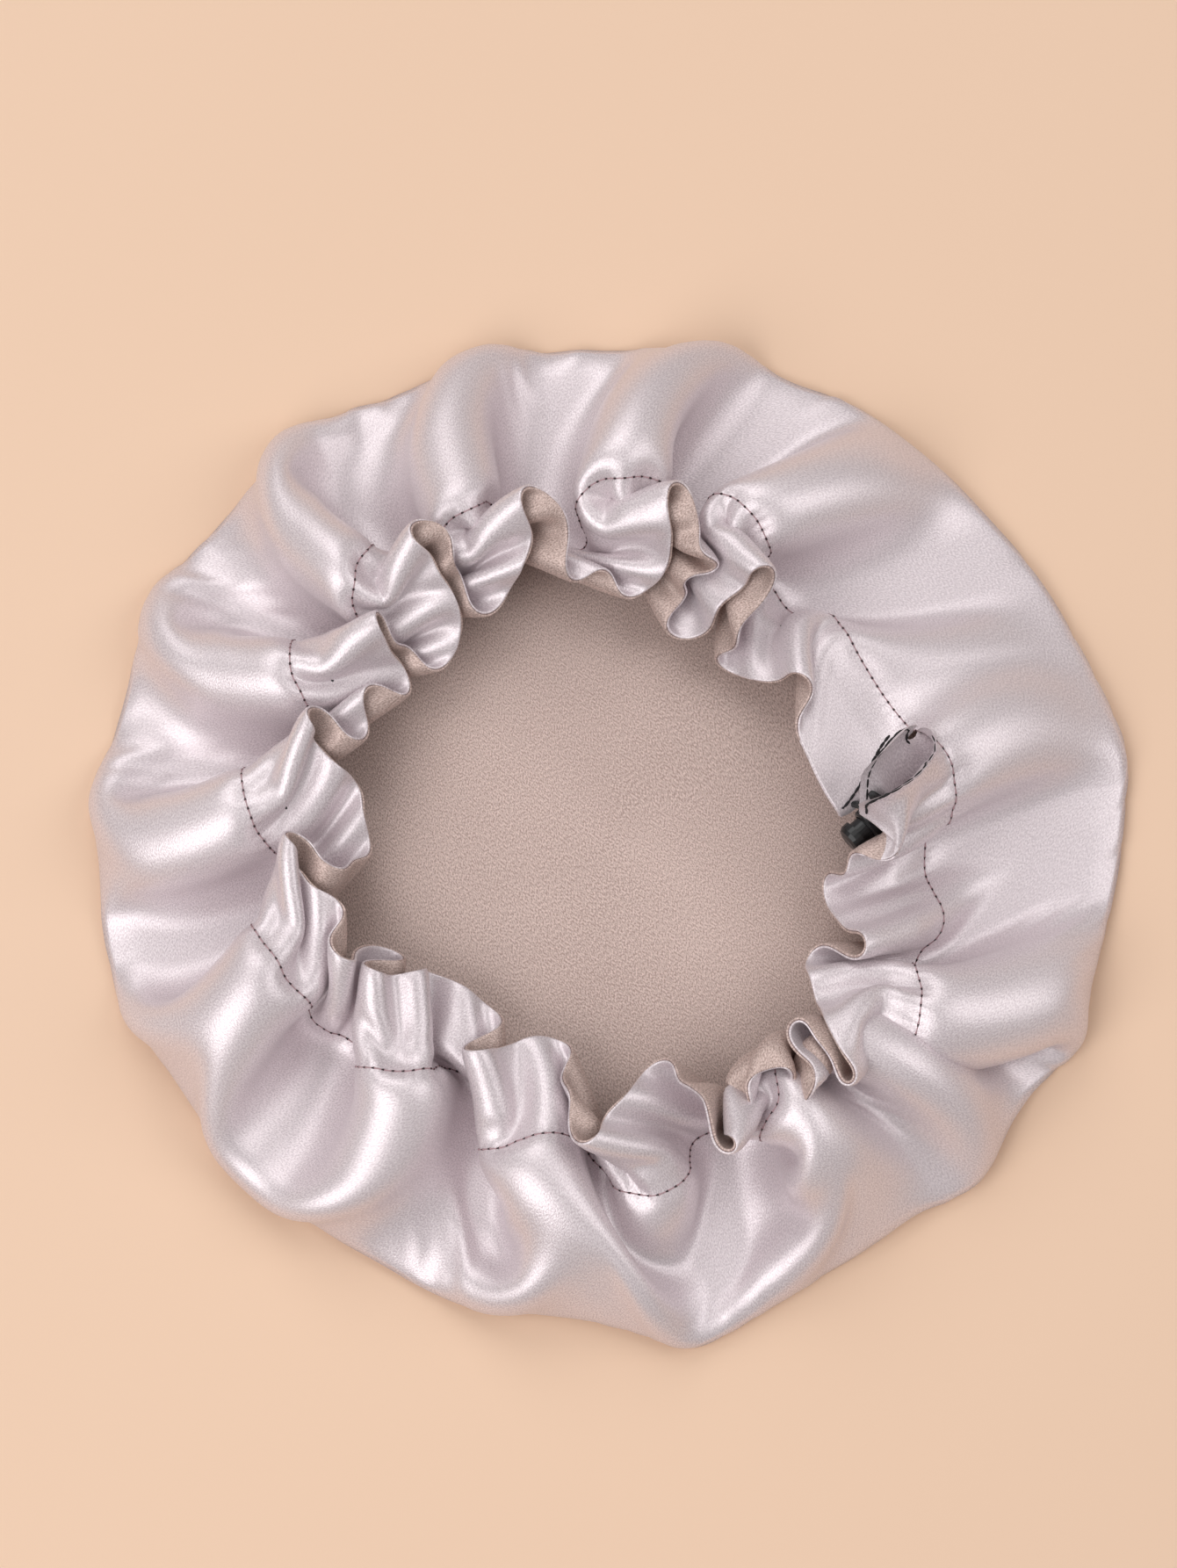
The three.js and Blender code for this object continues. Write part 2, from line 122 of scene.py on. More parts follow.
# The casing's free edge from above, fold by fold, counterclockwise from the upper mouth to the lower one.
ruffle = [
    [(74, -1), (66, 9), (61, 24), (60, 34), (65, 41)],
    [(57, 39), (46, 35), (39, 39), (43, 50), (53, 65), (59, 72)],
    [(50, 68), (40, 55), (34, 49), (28, 58), (36, 68), (46, 76)],
    [(38, 80), (36, 89), (37, 101), (31, 93), (31, 78)],
    [(25, 67), (13, 71), (1, 76), (-5, 84), (-9, 98), (-13, 105)],
    [(-16, 100), (-15, 88), (-19, 74), (-25, 67), (-32, 73), (-37, 88), (-42, 94), (-47, 95)],
    [(-49, 91), (-42, 80), (-33, 63), (-37, 54), (-48, 55), (-56, 61), (-60, 69)],
    [(-59, 59), (-49, 50), (-49, 44), (-56, 46), (-63, 49)],
    [(-60, 41), (-67, 36), (-75, 31), (-79, 37), (-84, 40)],
    [(-81, 29), (-72, 28), (-65, 22), (-65, 4), (-70, -7), (-79, -8), (-86, 2), (-91, 8)],
    [(-93, 6), (-91, -1), (-86, -9), (-80, -17), (-76, -26), (-77, -36), (-74, -39)],
    [(-70, -31), (-63, -25), (-56, -26), (-60, -30), (-66, -33), (-68, -39), (-61, -45), (-54, -42)],
    [(-53, -34), (-50, -29), (-40, -38), (-30, -51), (-34, -58), (-39, -67)],
    [(-31, -61), (-22, -53), (-12, -61), (-11, -80), (-9, -95)],
    [(-4, -90), (4, -80), (12, -69), (21, -70), (28, -78), (33, -89), (35, -100)],
    [(42, -96), (47, -86), (51, -78), (55, -76), (60, -81), (62, -88)],
    [(60, -77), (56, -62), (62, -70), (69, -82)],
    [(66, -70), (62, -55), (58, -42), (56, -36), (64, -37), (75, -38)],
    [(66, -33), (58, -29), (56, -21), (61, -14), (70, -11), (80, -11), (89, -9)],
    [(84, -5), (76, -4)],
]

lock = {
    "origin": (83.82, 5.42, 22.0),
    "turn": 222.0,
    "back": -11.3,
    "front": 12.6,
    "travel": 8.0,
    "keepOff": 7.4,
    "strandAside": 1.35,
    "strandTop": 27.65,
    "strandEnd": 7.7,
    "knotHeight": 4.5,
    "springEnd": -9.4,
    "springKeep": 0.46,
}


def blurred(values, width):
    # Each value becomes the bell-weighted mean of its neighbours; the ends run on as they began.
    reach = int(3 * width) + 1
    bell = np.exp(-0.5 * (np.arange(-reach, reach + 1) / width) ** 2)
    first = 2 * values[0] - values[1:reach + 1][::-1]
    last = 2 * values[-1] - values[-reach - 1:-1][::-1]
    return np.convolve(np.concatenate((first, values, last)), bell / bell.sum(), mode="valid")


def curveThrough(points, count):
    # A smooth path through a few points: each span is a cubic whose ends run along its neighbours.
    points = np.array(points, float)
    padded = np.vstack((2 * points[0] - points[1], points, 2 * points[-1] - points[-2]))
    place = np.linspace(0, len(points) - 1 - 1e-9, count)
    k = place.astype(int)
    t = (place - k)[:, None]
    a, b, c, d = padded[k], padded[k + 1], padded[k + 2], padded[k + 3]
    square = 2 * a - 5 * b + 4 * c - d
    cube = 3 * b - a - 3 * c + d
    return 0.5 * (2 * b + (c - a) * t + square * t ** 2 + cube * t ** 3)


def nearness(distance, run):
    # One at the place itself, falling as a bell with the distance from it.
    return np.exp(-(distance / run) ** 2)


def eased(values):
    # Nought below nought, one above one, and an even bend between.
    values = np.clip(values, 0, 1)
    return values * values * (3 - 2 * values)


def fromMouths(columns):
    # Lengths of cloth along the stitch row back to the upper and to the lower mouth.
    fromStart = (np.arange(columns) + 0.5) * 2 * np.pi * cloth["stitch"] / columns
    return fromStart, fromStart[::-1]


def clothRows(fine):
    # Distances from the crown's centre of the rows that move: even steps to the stitch row, then to the rim.
    body = np.linspace(cloth["flatTo"], cloth["stitch"], cloth["bodyRows"] * fine + 1)
    casing = np.linspace(cloth["stitch"], cloth["rim"], cloth["casingRows"] * fine + 1)
    return np.concatenate((body, casing[1:]))


def rimLine(columns):
    # The free edge in equal steps of cloth: height grows with the distance from the middle.
    g = gathers
    fold = np.concatenate([np.full(len(points), number) for number, points in enumerate(ruffle)])
    plan = curveThrough([point for points in ruffle for point in points], 4000)
    turnedOut = fold[np.round(np.linspace(0, len(fold) - 1, 4000)).astype(int)] == g["foldedBack"]
    height = g["rimLow"] + (np.hypot(plan[:, 0], plan[:, 1]) - 60) * g["rimSlope"]
    path = np.column_stack((plan, np.where(turnedOut, g["foldedHeight"], height)))
    far = np.concatenate(([0], np.cumsum(np.linalg.norm(np.diff(path, axis=0), axis=1))))
    even = np.linspace(0, far[-1], 4000)
    lines = [blurred(np.interp(even, far, values), 9) for values in path.T]
    over = blurred(np.interp(even, far, turnedOut.astype(float)), 22)
    goal = (np.arange(columns) + 0.5) / columns * far[-1]
    rim = np.column_stack([np.interp(goal, even, values) for values in lines])
    rim[:, 2] += nearness(far[-1] - goal, 2 * mouth["run"]) * (mouth["rimHeight"] - rim[:, 2])
    rim[:, 2] += nearness(goal, mouth["run"]) * (mouth["upperRimHeight"] - rim[:, 2])
    return rim, np.interp(goal, even, over), far[-1] / columns


def gatherTurns(columns):
    # The stitch row turns as the rim does once its folds are evened out, and the body's edge more evenly
    # still. Beside the two mouths the cloth is gathered less.
    g = gathers
    rim, over, step = rimLine(columns)
    turn = np.unwrap(np.arctan2(rim[:, 1], rim[:, 0]))
    first, last = np.radians(g["startTurn"]), np.radians(g["endTurn"])
    fromStart, fromEnd = fromMouths(columns)
    spread = 1 + 1.0 * nearness(fromEnd, mouth["spreadRun"]) + 0.7 * nearness(fromStart, mouth["spreadRun"])
    lines = []
    for width, slack in ((g["stitchBlur"], spread), (g["edgeBlur"], 1)):
        rate = np.maximum(np.gradient(blurred(turn, width / step)), 1e-4) * slack
        line = np.cumsum(rate)
        lines.append(first + (last - first) * (line - line[0]) / (line[-1] - line[0]))
    away = np.hypot(rim[:, 0], rim[:, 1])
    ridge = np.clip(blurred(np.clip((away - g["ridgeFrom"]) / g["ridgeRun"], 0, 1), 4 / step), 0, 1)
    lobe = np.clip((blurred(away, 7 / step) - blurred(away, 50 / step)) / g["lobeRun"], -1, 1)
    turns = {"stitchTurn": lines[0], "evenTurn": lines[1]}
    return {"rim": rim, "over": over, "ridge": ridge, "lobe": lobe, **turns}


def edgeRadius(turn):
    # A round of the outline's radius, a little wider than it is deep, with a sharp peak at each corner.
    corner, reach = np.array(outline["corners"], float).T
    away = np.abs((np.degrees(turn)[:, None] - corner + 180) % 360 - 180)
    peaks = (reach * np.exp(-away / outline["spread"])).sum(axis=1)
    return outline["radius"] + outline["wide"] * np.cos(2 * turn) + peaks


def startShape(rows, columns):
    # Flat out to the edge's crease, back over it in a low arch to the stitch row, then a bent strip to the
    # rim, whose middle is lifted at the standing mouth and laid outwards at the turned-out fold.
    g, m = gathers, mouth
    gathered = gatherTurns(columns)
    rim, over, ridge = gathered["rim"], gathered["over"], gathered["ridge"]
    stitchTurn, evenTurn = gathered["stitchTurn"], gathered["evenTurn"]
    fromEnd = fromMouths(columns)[1]
    standing = nearness(fromEnd, m["run"])
    s = rows[:, None]
    wide = cloth["rim"] - cloth["stitch"]
    edge = edgeRadius(evenTurn)
    crease = edge + outline["crease"]
    b = np.clip((s - crease) / (cloth["stitch"] - crease), 0, 1)
    turn = evenTurn + (stitchTurn - evenTurn) * b
    stitchAway = np.minimum(g["stitchRadius"] - 2 * ridge, np.hypot(rim[:, 0], rim[:, 1]) + 0.97 * wide)
    stitchAway = blurred(stitchAway + over * (g["foldedStitch"] - stitchAway), columns / 120)
    stitchAway = stitchAway + m["bulge"] * nearness(fromEnd - m["bulgeAt"], m["bulgeRun"])
    stitchHeight = g["stitchLow"] + g["stitchRise"] * ridge
    stitchHeight = stitchHeight + standing * (m["stitchHeight"] - stitchHeight)
    away = np.where(b > 0, edge + (stitchAway - edge) * b, np.minimum(s, edge))
    height = outline["foldTop"] * eased(b * 20) + stitchHeight * b + g["bodyTop"] * 4 * b * (1 - b)
    waves = g["lobe"] * gathered["lobe"] * np.sin(np.pi * b ** 1.4) ** 2
    height = np.maximum(height + waves, 0) + cloth["lift"]
    middleX, middleY = outline["middle"]
    shift = eased((cloth["stitch"] - s) / 50)
    bodyX = away * np.cos(turn) + shift * middleX
    bodyY = away * np.sin(turn) + shift * middleY
    body = np.stack((bodyX, bodyY, height), axis=-1)
    stitchX = stitchAway * np.cos(stitchTurn)
    stitchY = stitchAway * np.sin(stitchTurn)
    stitch = np.column_stack((stitchX, stitchY, stitchHeight))
    middle = 0.5 * (stitch + rim)
    middle[:, :2] += standing[:, None] * m["middleShift"]
    middle[:, 2] += 3 + m["middleRise"] * standing
    aim = np.arctan2(middle[:, 1], middle[:, 0])
    foldAway, foldTop = g["foldedOver"]
    fold = np.column_stack((foldAway * np.cos(aim), foldAway * np.sin(aim), np.full(columns, foldTop)))
    middle += over[:, None] * (fold - middle)
    q = np.clip((s - cloth["stitch"]) / wide, 0, 1)[..., None]
    casing = (1 - q) ** 2 * stitch + 2 * q * (1 - q) * middle + q ** 2 * rim
    return np.where((s > cloth["stitch"])[..., None], casing, body)


def clothLinks(rows, columns, seamRow, crease, firmness):
    # Pairs of points with their distance in the flat cloth, by the cosine rule, in sets in which no point
    # comes twice. The rows are eased in a little, and nothing stiffens the crease.
    count = len(rows)
    index = np.arange(count * columns).reshape(count, columns)
    ease = np.interp(rows, (outline["radius"], cloth["rim"]), (1, cloth["ease"]))
    sets = []
    for down, over, bodyFirm, casingFirm in firmness:
        i, j = np.meshgrid(np.arange(count - down), np.arange(columns), indexing="ij")
        wraps = (j + over < 0) | (j + over >= columns)
        kept = ~(wraps & (i + down > seamRow))
        if down > 1:
            kept &= (rows[i] > crease[j] - 1) | (rows[i + down] < crease[j] + 1)
        side = (i // down if down else j // over) % 2
        near, far = rows[i], rows[i + down]
        turn = 0.5 * (ease[i] + ease[i + down]) * 2 * np.pi * over / columns
        rest = np.sqrt(near ** 2 + far ** 2 - 2 * near * far * np.cos(turn))
        firm = np.where(i >= seamRow, casingFirm, bodyFirm)
        for parity in (0, 1):
            use = kept & (side == parity)
            other = index[i + down, (j + over) % columns]
            sets.append((index[i, j][use], other[use], rest[use], firm[use]))
    return sets


def nearPairs(points, reach, columns, clear):
    # Points nearer than reach that are not neighbours in the cloth, found by sorting them into cubes.
    cell = np.floor(points / reach).astype(np.int64)
    cell -= cell.min(axis=0) - 1
    size = cell.max(axis=0) + 2
    key = (cell[:, 0] * size[1] + cell[:, 1]) * size[2] + cell[:, 2]
    order = np.argsort(key, kind="stable")
    ranked = key[order]
    number = np.arange(len(points))
    steps = [(x, y, z) for x in (-1, 0, 1) for y in (-1, 0, 1) for z in (-1, 0, 1)]
    firsts, seconds = [], []
    for step in [step for step in steps if step >= (0, 0, 0)]:
        other = key + (step[0] * size[1] + step[1]) * size[2] + step[2]
        low = np.searchsorted(ranked, other, "left")
        many = np.searchsorted(ranked, other, "right") - low
        total = int(many.sum())
        a = np.repeat(number, many)
        b = order[np.repeat(low, many) + np.arange(total) - np.repeat(np.cumsum(many) - many, many)]
        apart = np.abs(a % columns - b % columns)
        apart = np.minimum(apart, columns - apart)
        kept = (np.abs(a // columns - b // columns) > clear) | (apart > clear)
        if step == (0, 0, 0):
            kept &= b > a
        a, b = a[kept], b[kept]
        gap = points[a] - points[b]
        kept = (gap * gap).sum(axis=1) < reach * reach
        firsts.append(a[kept])
        seconds.append(b[kept])
    return np.concatenate(firsts), np.concatenate(seconds)


def gridNormals(grid, seamRow):
    # Cross product of the step along a row and the step across the rows: it points out of the outer cloth.
    ahead = np.roll(grid, -1, axis=1)
    back = np.roll(grid, 1, axis=1)
    ahead[seamRow + 1:, -1] = grid[seamRow + 1:, -1]
    back[seamRow + 1:, 0] = grid[seamRow + 1:, 0]
    normal = np.cross(ahead - back, np.gradient(grid, axis=0))
    return normal / np.maximum(np.linalg.norm(normal, axis=-1, keepdims=True), 1e-9)


def lengthOf(vectors):
    return np.sqrt(np.einsum("ij,ij->i", vectors, vectors))


def lockEnds():
    turn = math.radians(lock["turn"])
    along = np.array((math.cos(turn), math.sin(turn)))
    origin = np.array(lock["origin"][:2])
    return origin + lock["back"] * along, origin + lock["front"] * along


def clearOfLock(points, back, span):
    # Points nearer to the lock's axis than keepOff, at any place of its slide, move straight away from it.
    share = np.clip((points[:, :2] - back) @ span / (span @ span), 0, 1)
    height = np.clip(points[:, 2], lock["origin"][2] - lock["travel"], lock["origin"][2])
    off = points - np.column_stack((back + share[:, None] * span, height))
    gap = lengthOf(off)
    inside = gap < lock["keepOff"]
    points[inside] += off[inside] * (lock["keepOff"] / np.maximum(gap[inside], 0.1) - 1)[:, None]


def relax(grid, home, rows, settings):
    # Steps of falling, puffing and evening out: every pair of points goes back to its distance in the flat
    # cloth, folds keep their thickness from each other, the casing stays on its cord and the floor holds
    # the crown.
    count, columns = grid.shape[:2]
    seamRow = int(np.argmin(np.abs(rows - cloth["stitch"])))
    wide = cloth["rim"] - cloth["stitch"]
    cordRow = int(np.argmin(np.abs(rows - cloth["stitch"] - cloth["cordLine"] * wide)))
    gathered = gatherTurns(columns)
    edgeGoal = edgeRadius(gathered["evenTurn"])
    crease = edgeGoal + outline["crease"]
    edgeRow = np.argmin(np.abs(rows[:, None] - crease), axis=0)
    edgeColumn = np.arange(columns)
    fromStart, fromEnd = fromMouths(columns)
    (lowerFirm, lowerRun), (upperFirm, upperRun) = mouth["lowerFirm"], mouth["upperFirm"]
    firmEnds = 1 + lowerFirm * nearness(fromEnd, lowerRun) + upperFirm * nearness(fromStart, upperRun)
    sets = clothLinks(rows, columns, seamRow, crease, settings["firmness"])
    points = grid.reshape(-1, 3).copy()
    speed = np.zeros_like(points)
    s = rows[:, None, None]
    puff = np.clip((s - crease[:, None]) / 30, 0, 1) * np.clip((cloth["stitch"] + 4 - s) / 12, 0, 1)
    puff = settings["puff"] * puff
    beyond = rows[:, None] - crease
    floor = (cloth["lift"] + cloth["foldLift"] * np.clip(beyond / 8, 0, 1)).ravel()
    ceiling = np.where(beyond < -5, cloth["lift"] + cloth["crownRise"], 1000.0).ravel()
    besideTurned = np.clip(2 * blurred(gathered["over"], columns / 60), 0, 1)
    bodyHold = settings["bodyHold"] * besideTurned * np.clip((beyond[:seamRow] - 6) / 20, 0, 1)
    lockBack, lockFront = lockEnds()
    movable = 8 * columns
    for step in range(settings["steps"]):
        before = points.copy()
        if step % 6 == 0:
            normal = gridNormals(points.reshape(count, columns, 3), seamRow)
            push = (normal * puff).reshape(-1, 3) - (0, 0, settings["weight"])
            first, second = nearPairs(points[movable:], settings["thick"] * 1.4, columns, 2)
            first, second = first + movable, second + movable
        points += speed * settings["drag"] + push
        for start, end, rest, firm in sets:
            span = points[end] - points[start]
            length = lengthOf(span)
            span *= (firm * 0.5 * (length - rest) / np.maximum(length, 1e-6))[:, None]
            points[start] += span
            points[end] -= span
        span = points[second] - points[first]
        length = lengthOf(span)
        close = length < settings["thick"]
        a, b = first[close], second[close]
        shift = span[close] * (0.5 * (settings["thick"] / np.maximum(length[close], 1e-3) - 1))[:, None]
        many = len(points)
        hits = np.bincount(a, minlength=many) + np.bincount(b, minlength=many)
        for axis in range(3):
            total = np.bincount(b, shift[:, axis], many) - np.bincount(a, shift[:, axis], many)
            points[:, axis] += total / np.sqrt(np.maximum(hits, 1))
        view = points.reshape(count, columns, 3)
        done = step / settings["steps"]
        hold = np.interp(done, (0.5, 0.9), (settings["hold"], settings["lastHold"])) * firmEnds
        view[seamRow:] += hold[:, None] * (home[seamRow:] - view[seamRow:])
        view[:seamRow] += bodyHold[..., None] * (home[:seamRow] - view[:seamRow])
        away = np.linalg.norm(view[cordRow, :, :2], axis=-1)
        aside = away - gathers["cordRadius"]
        above = view[cordRow, :, 2] - gathers["cordHeight"]
        far = np.hypot(aside, above)
        pull = gathers["cordPull"] * np.maximum(far - gathers["cordRoom"], 0) / np.maximum(far, 1e-6)
        pull *= 1 - nearness(fromEnd, gathers["cordFreeRun"])
        view[cordRow, :, :2] *= (1 - pull * aside / away)[:, None]
        view[cordRow, :, 2] -= pull * above
        off = view[edgeRow, edgeColumn, :2] - outline["middle"]
        away = np.linalg.norm(off, axis=-1)
        view[edgeRow, edgeColumn, :2] += settings["edgeHold"] * off * (edgeGoal / away - 1)[:, None]
        tooHigh = np.maximum(view[edgeRow, edgeColumn, 2] - outline["foldTop"], 0)
        view[edgeRow, edgeColumn, 2] -= settings["edgeHold"] * tooHigh
        clearOfLock(points, lockBack, lockFront - lockBack)
        points[:, 2] = np.minimum(points[:, 2], ceiling)
        low = points[:, 2] < floor
        points[low, 2] = floor[low]
        points[low, :2] = before[low, :2] + 0.3 * (points[low, :2] - before[low, :2])
        move = points - before
        move *= np.minimum(1, settings["reach"] / np.maximum(lengthOf(move), 1e-9))[:, None]
        points = before + move
        points.reshape(count, columns, 3)[:cloth["heldRows"]] = home[:cloth["heldRows"]]
        speed = points - before
    return points.reshape(count, columns, 3)


def finer(grid, seamRow, rowsToo):
    # New points lie between old ones by the four-point rule: nine of each near one, less one of each far
    # one, over sixteen.
    def halves(line, closed):
        ahead = np.roll(line, -1, axis=0)
        back = np.roll(line, 1, axis=0)
        beyond = np.roll(line, -2, axis=0)
        if not closed:
            ahead[-1] = 2 * line[-1] - line[-2]
            back[0] = 2 * line[0] - line[1]
            beyond[-2] = ahead[-1]
            beyond[-1] = 2 * ahead[-1] - line[-1]
        between = (9 * (line + ahead) - back - beyond) / 16
        return np.stack((line, between), axis=1).reshape(-1, *line.shape[1:])
    body = halves(grid[:seamRow + 1].swapaxes(0, 1), True).swapaxes(0, 1)
    casing = halves(grid[seamRow + 1:].swapaxes(0, 1), False).swapaxes(0, 1)
    wide = np.concatenate((body, casing), axis=0)
    if rowsToo:
        return halves(wide, False)[:-1]
    strip = halves(wide[seamRow - 1:], False)[2:-1]
    return np.concatenate((wide[:seamRow], strip), axis=0)


# Each firmness row is a step down the rows, a step over the columns, and the pull in body and in casing.
stages = [
    {"fine": 1, "steps": 500, "puff": 0.012, "weight": 0.004, "drag": 0.93, "thick": 3.4, "hold": 0.02,
     "lastHold": 0.02, "edgeHold": 0.15, "bodyHold": 0.08, "reach": 0.6,
     "firmness": [(0, 1, 1, 1), (1, 0, 1, 1), (1, 1, 0.3, 0.3), (1, -1, 0.3, 0.3), (0, 2, 0.3, 0.08),
                  (2, 0, 0.15, 0.08), (0, 4, 0.2, 0.01), (4, 0, 0.05, 0.01), (0, 8, 0.05, 0)]},
    {"fine": 2, "steps": 400, "puff": 0.006, "weight": 0.002, "drag": 0.93, "thick": 3.2, "hold": 0.012,
     "lastHold": 0.006, "edgeHold": 0.20, "bodyHold": 0.03, "reach": 0.4,
     "firmness": [(0, 1, 1, 1), (1, 0, 1, 1), (1, 1, 0.3, 0.3), (1, -1, 0.3, 0.3), (0, 2, 0.3, 0.2),
                  (2, 0, 0.3, 0.2), (0, 4, 0.3, 0.05), (4, 0, 0.15, 0.05), (0, 8, 0.2, 0),
                  (0, 16, 0.04, 0)]},
]


def settledCloth():
    # The middle surface between the two cloths, first in a coarse grid and then in one twice as fine.
    columns = cloth["columns"]
    grid = startShape(clothRows(1), columns)
    for stage in stages:
        rows = clothRows(stage["fine"])
        home = startShape(rows, columns * stage["fine"])
        if stage["fine"] > 1:
            grid = finer(grid, cloth["bodyRows"] * stage["fine"] // 2, True)
        grid = relax(grid, home, rows, stage)
        print("cloth stage", stage["fine"], "top", round(float(grid[..., 2].max()), 1))
    return rows, grid


def smoothed(grid, seamRow, passes):
    # Each point moves halfway to the mean of its four neighbours, the free edges along themselves only.
    for _ in range(passes):
        ahead, back = np.roll(grid, -1, axis=1), np.roll(grid, 1, axis=1)
        ahead[seamRow + 1:, -1] = grid[seamRow + 1:, -1]
        back[seamRow + 1:, 0] = grid[seamRow + 1:, 0]
        mean = 0.5 * (ahead + back)
        mean[1:-1] = 0.5 * mean[1:-1] + 0.25 * (grid[2:] + grid[:-2])
        grid = grid + 0.5 * (mean - grid)
    return grid


def standingMouth(grid):
    # The last stretch of the lower mouth slides over the upper one and curls up: its run turns from along
    # the casing to straight out of it, not at all at the stitch row and less at the rim.
    step = np.pi * (cloth["stitch"] + cloth["rim"]) / grid.shape[1]
    reach = int(mouth["slideRun"] / step)
    across = np.linspace(0, 1, len(grid) - seamRow)[:, None]
    over = eased(across / 0.4) * (1 - 0.7 * eased((across - 0.6) / 0.4))
    over = over * eased(np.arange(1, reach + 1) / reach)
    grid[seamRow:, -reach:] += over[..., None] * mouth["slide"]
    count = int(mouth["curl"] / step)
    base = grid.shape[1] - 1 - count
    strip = grid[seamRow:, base:]
    ahead = strip[:, 2] - grid[seamRow:, base - 2]
    ahead /= np.linalg.norm(ahead, axis=-1, keepdims=True)
    normal = gridNormals(grid, seamRow)[seamRow:, base]
    share = eased(across / 0.3) * (1 - 0.6 * eased((across - 0.65) / 0.35))
    angle = (share * math.radians(mouth["curlTurn"]) * np.arange(1, count + 1) / count)[..., None]
    run = np.cos(angle) * ahead[:, None] + np.sin(angle) * normal[:, None]
    length = np.linalg.norm(np.diff(strip, axis=1), axis=-1, keepdims=True)
    curled = strip[:, :1] + np.cumsum(run * length, axis=1)
    grid[seamRow:, base + 1:] += share[..., None] * (curled - strip[:, 1:])
    return grid


settledRows, settledGrid = settledCloth()
seamRow = 2 * cloth["bodyRows"]
settledGrid = finer(smoothed(settledGrid, seamRow, 2), seamRow, False)
settledGrid = smoothed(standingMouth(settledGrid), seamRow, 1)
casingRows = np.linspace(cloth["stitch"], cloth["rim"], 4 * cloth["casingRows"] + 1)
settledRows = np.concatenate((settledRows[:seamRow], casingRows))
settledNormals = gridNormals(settledGrid, seamRow)
columnCount = settledGrid.shape[1]
columnTurn = 2 * np.pi * (np.arange(columnCount) + 0.5) / columnCount
print("cloth settled", settledGrid.shape)


def meshPiece(name, points, faces, uv, material):
    # A mesh from whole arrays: points in millimetres, faces, and a pair of cloth coordinates per point.
    mesh = bpy.data.meshes.new(name)
    mesh.from_pydata((points * toMetres).tolist(), [], faces)
    mesh.polygons.foreach_set("use_smooth", np.ones(len(mesh.polygons), bool))
    corner = np.zeros(len(mesh.loops), np.int32)
    mesh.loops.foreach_get("vertex_index", corner)
    layer = mesh.uv_layers.new(name="cloth")
    layer.data.foreach_set("uv", uv[corner].astype(np.float32).ravel())
    mesh.materials.append(material)
    piece = bpy.data.objects.new(name, mesh)
    bpy.context.scene.collection.objects.link(piece)
    return piece


def gridFaces(count, columns, closed):
    # Four corners of every cell of a grid of rows and columns.
    index = np.arange(count * columns).reshape(count, columns)
    ahead = np.roll(index, -1, axis=1)
    cells = np.stack((index[:-1], ahead[:-1], ahead[1:], index[1:]), axis=-1)
    return cells if closed else cells[:, :-1]


def tube(path, radius, sides, closed):
    # Rings across a path: two directions square to its run, kept from twisting by one fixed upright.
    run = np.roll(path, -1, axis=0) - np.roll(path, 1, axis=0)
    if not closed:
        run[0], run[-1] = path[1] - path[0], path[-1] - path[-2]
    run /= np.maximum(np.linalg.norm(run, axis=1, keepdims=True), 1e-9)
    level = np.cross(run, (0.03, 0.02, 1.0))
    level /= np.maximum(np.linalg.norm(level, axis=1, keepdims=True), 1e-9)
    upright = np.cross(level, run)
    angle = 2 * np.pi * np.arange(sides) / sides
    ring = level[:, None] * np.cos(angle)[:, None] + upright[:, None] * np.sin(angle)[:, None]
    radius = np.broadcast_to(radius, len(path))
    points = path[:, None] + ring * radius[:, None, None]
    index = np.arange(len(path) * sides).reshape(len(path), sides)
    following = np.roll(index, -1, axis=0) if closed else index[1:]
    base = index if closed else index[:-1]
    faces = np.stack((base, np.roll(base, -1, axis=1), np.roll(following, -1, axis=1), following), axis=-1)
    return points.reshape(-1, 3), faces.reshape(-1, 4)


def along(path, count, closed):
    # The same path in equal steps.
    line = np.vstack((path, path[:1])) if closed else path
    far = np.concatenate(([0], np.cumsum(np.linalg.norm(np.diff(line, axis=0), axis=1))))
    goal = np.linspace(0, far[-1], count + 1)[:-1] if closed else np.linspace(0, far[-1], count)
    return np.column_stack([np.interp(goal, far, line[:, axis]) for axis in range(3)])


def shader(name):
    material = bpy.data.materials.new(name)
    material.use_nodes = True
    nodes, links = material.node_tree.nodes, material.node_tree.links
    return material, nodes, links, nodes["Principled BSDF"]


def mathNode(nodes, links, operation, first, second=None):
    node = nodes.new("ShaderNodeMath")
    node.operation = operation
    for socket, value in zip(node.inputs, (first, second)):
        if value is None:
            continue
        if isinstance(value, (int, float)):
            socket.default_value = value
        else:
            links.new(value, socket)
    return node.outputs[0]


def mixNode(nodes, links, share, first, second):
    node = nodes.new("ShaderNodeMix")
    node.data_type = "RGBA"
    links.new(share, node.inputs["Factor"])
    for socket, value in ((node.inputs["A"], first), (node.inputs["B"], second)):
        if isinstance(value, tuple):
            socket.default_value = (*value, 1)
        else:
            links.new(value, socket)
    return node.outputs["Result"]


uvSpan = 0.5
satinLook = {
    "lilac_satin": {"light": (0.84, 0.76, 0.785), "dark": (0.60, 0.52, 0.55), "roughness": 0.39,
                    "metallic": 0.43, "anisotropic": 0.30, "sheen": 0.10},
    "champagne_satin": {"light": (0.71, 0.555, 0.51), "dark": (0.375, 0.267, 0.235), "roughness": 0.48,
                        "metallic": 0.30, "anisotropic": 0.25, "sheen": 0.10},
    "grain": 1300.0,
    "grainTone": 3.6,
    "grainBump": 0.7,
    "cloud": 9.0,
    "cloudTone": 0.5,
    "toneShift": 1.55,
    "puckers": 430,
    "puckerWidth": 3.0,
    "puckerBump": 0.35,
    "facing": 30.0,
}


